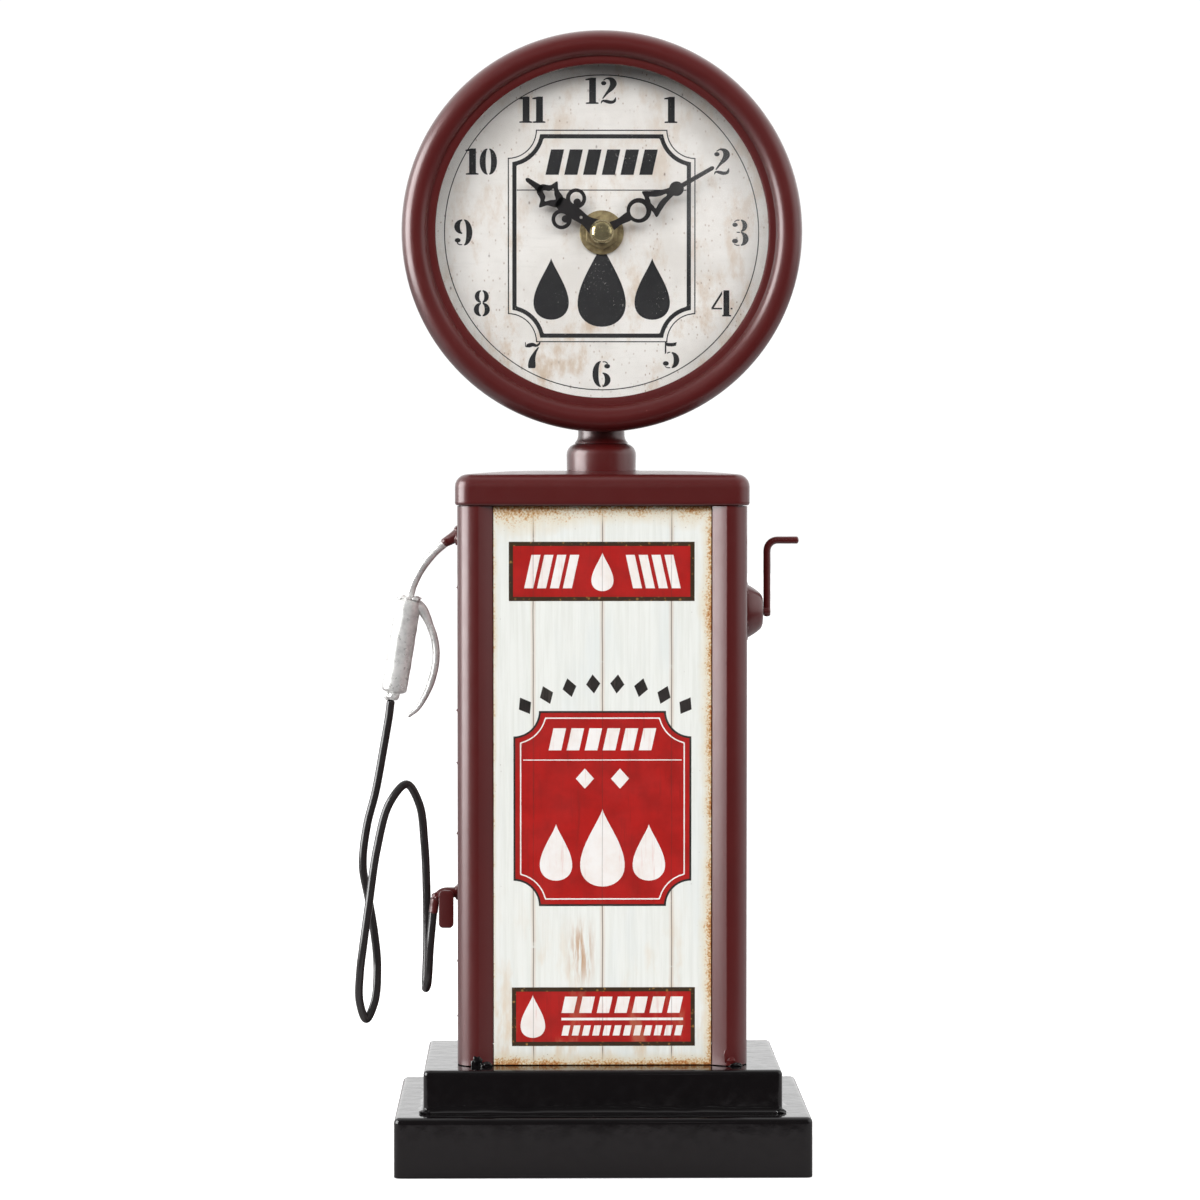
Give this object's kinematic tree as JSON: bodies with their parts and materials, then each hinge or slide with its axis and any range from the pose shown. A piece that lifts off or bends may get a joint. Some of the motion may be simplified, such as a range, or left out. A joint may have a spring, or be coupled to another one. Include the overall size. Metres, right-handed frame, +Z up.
{
  "type": "pump-shaped table clock",
  "caption": "Table clock in the shape of an old fuel pump: stepped black base, burgundy sheet metal body, nozzle with wire hose, crank and a round glazed head.",
  "frame": {"origin": "centre of the base's underside", "axes": "+Z up, the dial faces -Y, +X to the right of someone looking at the dial"},
  "size_m": [0.1616, 0.102, 0.402],
  "materials": {
    "burgundy_paint": "satin enamel",
    "black_gloss_paint": "gloss enamel",
    "printed_tin": "printed, satin",
    "glass": "clear",
    "clear_plastic": "clear moulded",
    "dial_card": "printed, matt",
    "hand_black": "satin black",
    "brass": "polished",
    "rubber": "matt",
    "movement_plastic": "moulded, fine texture",
    "gear_plastic": "moulded acetal",
    "steel": "plain",
    "magnet": "sintered",
    "copper": "enamelled winding",
    "circuit_board": "solder mask",
    "cell_wrap": "printed film",
    "silver_paint": "metallic lacquer",
    "hose_black": "gloss enamel on steel wire"
  },
  "bodies": {
    "root": {"base_lower": "black_gloss_paint", "base_upper": "black_gloss_paint", "base_bottom_plate": "black_gloss_paint", "body_left_shell": "burgundy_paint", "body_right_shell": "burgundy_paint", "body_back_panel": "burgundy_paint", "front_panel": "printed_tin", "top_cap": "burgundy_paint", "neck_lower_collar": "burgundy_paint", "neck_upper_collar": "burgundy_paint", "head_bezel": "burgundy_paint", "head_drum": "burgundy_paint", "glass_lens": "glass", "spacer_ring": "clear_plastic", "dial_plate": "dial_card", "rear_cover": "burgundy_paint", "rear_cover_screw_1": "steel", "rear_cover_screw_2": "steel", "rear_cover_screw_3": "steel", "rear_cover_screw_4": "steel", "brass_washer": "brass", "shaft_nut": "brass", "rubber_washer": "rubber", "movement_front_case": "movement_plastic", "movement_back_case": "movement_plastic", "stator": "steel", "coil": "copper", "circuit_board": "circuit_board", "quartz_crystal": "steel", "contact_positive": "steel", "contact_negative": "steel", "nozzle_stub": "burgundy_paint", "nozzle_spout": "silver_paint", "nozzle_body": "silver_paint", "nozzle_lever": "silver_paint", "hose_wire": "hose_black", "hose_bracket": "burgundy_paint", "crank_boss": "burgundy_paint"},
    "minute_work": {"minute_hand": "hand_black", "cap_nut": "brass", "minute_arbor": "steel"},
    "hour_work": {"hour_hand": "hand_black", "hour_wheel": "gear_plastic"},
    "minute_wheel": {"minute_wheel": "gear_plastic"},
    "set_knob": {"set_knob": "gear_plastic"},
    "centre_wheel": {"centre_wheel": "gear_plastic"},
    "third_wheel": {"third_wheel": "gear_plastic"},
    "seconds_wheel": {"seconds_wheel": "gear_plastic"},
    "fifth_wheel": {"fifth_wheel": "gear_plastic"},
    "rotor": {"rotor": "magnet"},
    "battery": {"battery": "cell_wrap"},
    "crank": {"crank_handle": "burgundy_paint"}
  },
  "joints": [
    {"name": "minute_hand_spin", "type": "hinge", "parent": "root", "child": "minute_work", "pos_m": [0, 0, 0.331], "axis": [0, 1, 0], "continuous": true},
    {"name": "hour_hand_spin", "type": "hinge", "parent": "root", "child": "hour_work", "pos_m": [0, 0, 0.331], "axis": [0, 1, 0], "continuous": true},
    {"name": "minute_wheel_spin", "type": "hinge", "parent": "root", "child": "minute_wheel", "pos_m": [-0.00606, 0, 0.3345], "axis": [0, 1, 0], "continuous": true},
    {"name": "set_knob_spin", "type": "hinge", "parent": "root", "child": "set_knob", "pos_m": [-0.00956, 0, 0.34056], "axis": [0, 1, 0], "continuous": true},
    {"name": "fifth_wheel_spin", "type": "hinge", "parent": "root", "child": "fifth_wheel", "pos_m": [0, 0, 0.3382], "axis": [0, 1, 0], "continuous": true},
    {"name": "rotor_spin", "type": "hinge", "parent": "root", "child": "rotor", "pos_m": [0.00315, 0, 0.34366], "axis": [0, 1, 0], "continuous": true},
    {"name": "seconds_wheel_spin", "type": "hinge", "parent": "root", "child": "seconds_wheel", "pos_m": [0, 0, 0.331], "axis": [0, 1, 0], "continuous": true},
    {"name": "third_wheel_spin", "type": "hinge", "parent": "root", "child": "third_wheel", "pos_m": [0.00618, 0, 0.33457], "axis": [0, 1, 0], "continuous": true},
    {"name": "centre_wheel_spin", "type": "hinge", "parent": "root", "child": "centre_wheel", "pos_m": [0, 0, 0.331], "axis": [0, 1, 0], "continuous": true},
    {"name": "battery_slide", "type": "slide", "parent": "root", "child": "battery", "axis": [0, 1, 0], "range_m": [0, 0.02]},
    {"name": "crank_spin", "type": "hinge", "parent": "root", "child": "crank", "pos_m": [0.0594, 0, 0.1959], "axis": [1, 0, 0], "continuous": true}
  ],
  "couplings": [
    {"joint": "hour_hand_spin", "follows": "minute_hand_spin", "ratio": 0.083333},
    {"joint": "minute_wheel_spin", "follows": "minute_hand_spin", "ratio": -0.33333},
    {"joint": "set_knob_spin", "follows": "minute_hand_spin", "ratio": 1},
    {"joint": "rotor_spin", "follows": "fifth_wheel_spin", "ratio": -6},
    {"joint": "seconds_wheel_spin", "follows": "fifth_wheel_spin", "ratio": -0.2},
    {"joint": "third_wheel_spin", "follows": "fifth_wheel_spin", "ratio": 0.026667},
    {"joint": "centre_wheel_spin", "follows": "fifth_wheel_spin", "ratio": -0.0033333}
  ]
}
